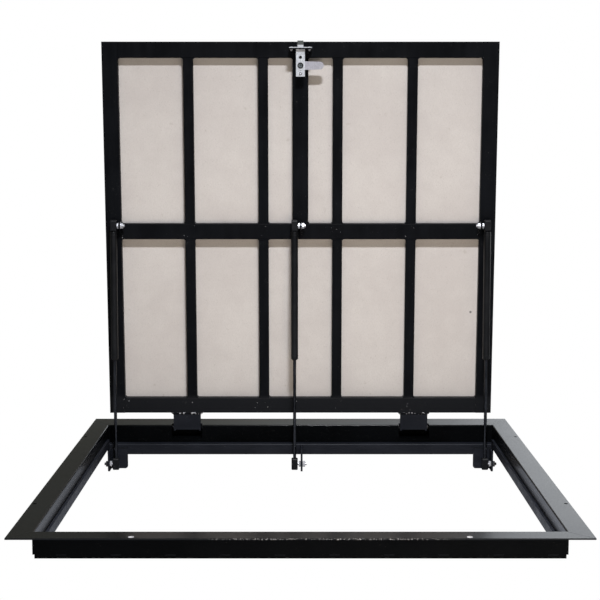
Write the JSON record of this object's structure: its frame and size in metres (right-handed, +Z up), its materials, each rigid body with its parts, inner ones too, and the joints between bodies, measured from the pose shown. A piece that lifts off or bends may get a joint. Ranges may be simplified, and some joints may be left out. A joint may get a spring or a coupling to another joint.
{
  "type": "recessed paving cover",
  "caption": "Recessed paving cover: flanged steel frame set into the ground, with a hinged tile-carrying lid held open by gas struts and a spring latch.",
  "frame": {"origin": "centre of the four side fixing holes, on top of the flange", "axes": "+X along the hinge, to the right when facing the hinge; +Y from the free edge to the hinge; +Z up"},
  "size_m": [1.09, 1.086, 1.0897],
  "materials": {
    "frame_paint": "dark blue-grey primer, satin, brushed on",
    "lid_paint": "dark blue-grey primer, satin, brushed on",
    "fibre_board": "pale grey cement fibre board, matt",
    "strut_paint": "black, semi-gloss",
    "rod_steel": "polished rod",
    "socket_metal": "dark cast metal, satin",
    "latch_zinc": "bright zinc plate",
    "plated_steel": "zinc plate"
  },
  "bodies": {
    "frame": {"frame_front": "frame_paint", "frame_left": "frame_paint", "frame_right": "frame_paint", "frame_rear": "frame_paint", "ledge_front": "frame_paint", "ledge_left": "frame_paint", "ledge_right": "frame_paint", "rear_beam": "frame_paint", "hinge_pocket_left": "frame_paint", "hinge_pocket_right": "frame_paint", "hinge_pins": "plated_steel", "hinge_washers": "plated_steel", "strut_bracket_left": "frame_paint", "strut_bracket_right": "frame_paint", "strut_bracket_centre": "frame_paint", "lower_ball_studs": "plated_steel"},
    "lid": {"lid_stile_left": "lid_paint", "lid_stile_right": "lid_paint", "lid_rail_hinge": "lid_paint", "lid_rail_middle": "lid_paint", "lid_rail_latch": "lid_paint", "lid_bar_centre": "lid_paint", "lid_bar_upper_1": "lid_paint", "lid_bar_upper_2": "lid_paint", "lid_bar_upper_3": "lid_paint", "lid_bar_upper_4": "lid_paint", "lid_bar_lower_1": "lid_paint", "lid_bar_lower_2": "lid_paint", "lid_bar_lower_3": "lid_paint", "lid_bar_lower_4": "lid_paint", "tile_board": "fibre_board", "board_screws": "plated_steel", "hinge_arm_left": "lid_paint", "hinge_arm_right": "lid_paint", "lid_tab_left": "lid_paint", "lid_tab_right": "lid_paint", "lid_tab_centre": "lid_paint", "upper_ball_studs": "plated_steel", "latch_bracket": "lid_paint", "latch_face_plate": "latch_zinc", "latch_screws": "plated_steel", "latch_case": "latch_zinc", "latch_spring": "plated_steel"},
    "latch_handle": {"latch_hub": "latch_zinc", "latch_lever": "latch_zinc"},
    "latch_slider": {"latch_bolt": "latch_zinc"},
    "rod_left": {"strut_rod_left": "rod_steel", "socket_low_left": "socket_metal"},
    "cylinder_left": {"strut_tube_left": "strut_paint", "socket_top_left": "socket_metal"},
    "rod_right": {"strut_rod_right": "rod_steel", "socket_low_right": "socket_metal"},
    "cylinder_right": {"strut_tube_right": "strut_paint", "socket_top_right": "socket_metal"},
    "rod_centre": {"strut_rod_centre": "rod_steel", "socket_low_centre": "socket_metal"},
    "cylinder_centre": {"strut_tube_centre": "strut_paint", "socket_top_centre": "socket_metal"}
  },
  "joints": [
    {"name": "lid_hinge", "type": "hinge", "parent": "frame", "child": "lid", "pos_m": [0, 0.489, -0.0105], "axis": [1, 0, 0], "range_deg": [0, 87]},
    {"name": "latch_turn", "type": "hinge", "parent": "lid", "child": "latch_handle", "pos_m": [0, 0.39368, 0.91979], "axis": [0, 0.9986, 0.0523], "range_deg": [0, 60], "stiffness_Nm_per_rad": 0.084, "springref_deg": -30.94},
    {"name": "bolt_slide", "type": "slide", "parent": "lid", "child": "latch_slider", "axis": [0, 0.0523, -0.9986], "range_m": [0, 0.0078], "deforming": ["latch_spring"]},
    {"name": "strut_swing_left", "type": "hinge", "parent": "frame", "child": "rod_left", "pos_m": [-0.4745, 0.401, -0.0905], "axis": [1, 0, 0], "range_deg": [0, 86.73]},
    {"name": "strut_travel_left", "type": "slide", "parent": "rod_left", "child": "cylinder_left", "axis": [0, 0.0345, 0.9994], "range_m": [-0.16372, 0]},
    {"name": "strut_swing_right", "type": "hinge", "parent": "frame", "child": "rod_right", "pos_m": [0.4745, 0.401, -0.0905], "axis": [1, 0, 0], "range_deg": [0, 86.73]},
    {"name": "strut_travel_right", "type": "slide", "parent": "rod_right", "child": "cylinder_right", "axis": [0, 0.0345, 0.9994], "range_m": [-0.16372, 0]},
    {"name": "strut_swing_centre", "type": "hinge", "parent": "frame", "child": "rod_centre", "pos_m": [-0.015, 0.401, -0.0905], "axis": [1, 0, 0], "range_deg": [0, 86.73]},
    {"name": "strut_travel_centre", "type": "slide", "parent": "rod_centre", "child": "cylinder_centre", "axis": [0, 0.0345, 0.9994], "range_m": [-0.16372, 0]}
  ],
  "couplings": [
    {"joint": "bolt_slide", "follows": "latch_turn", "m_per_rad": 0.0074477},
    {"joint": "strut_swing_left", "follows": "lid_hinge", "ratio": 0.99684},
    {"joint": "strut_travel_left", "follows": "lid_hinge", "m_per_rad": -0.10781},
    {"joint": "strut_swing_right", "follows": "lid_hinge", "ratio": 0.99684},
    {"joint": "strut_travel_right", "follows": "lid_hinge", "m_per_rad": -0.10781},
    {"joint": "strut_swing_centre", "follows": "lid_hinge", "ratio": 0.99684},
    {"joint": "strut_travel_centre", "follows": "lid_hinge", "m_per_rad": -0.10781}
  ]
}
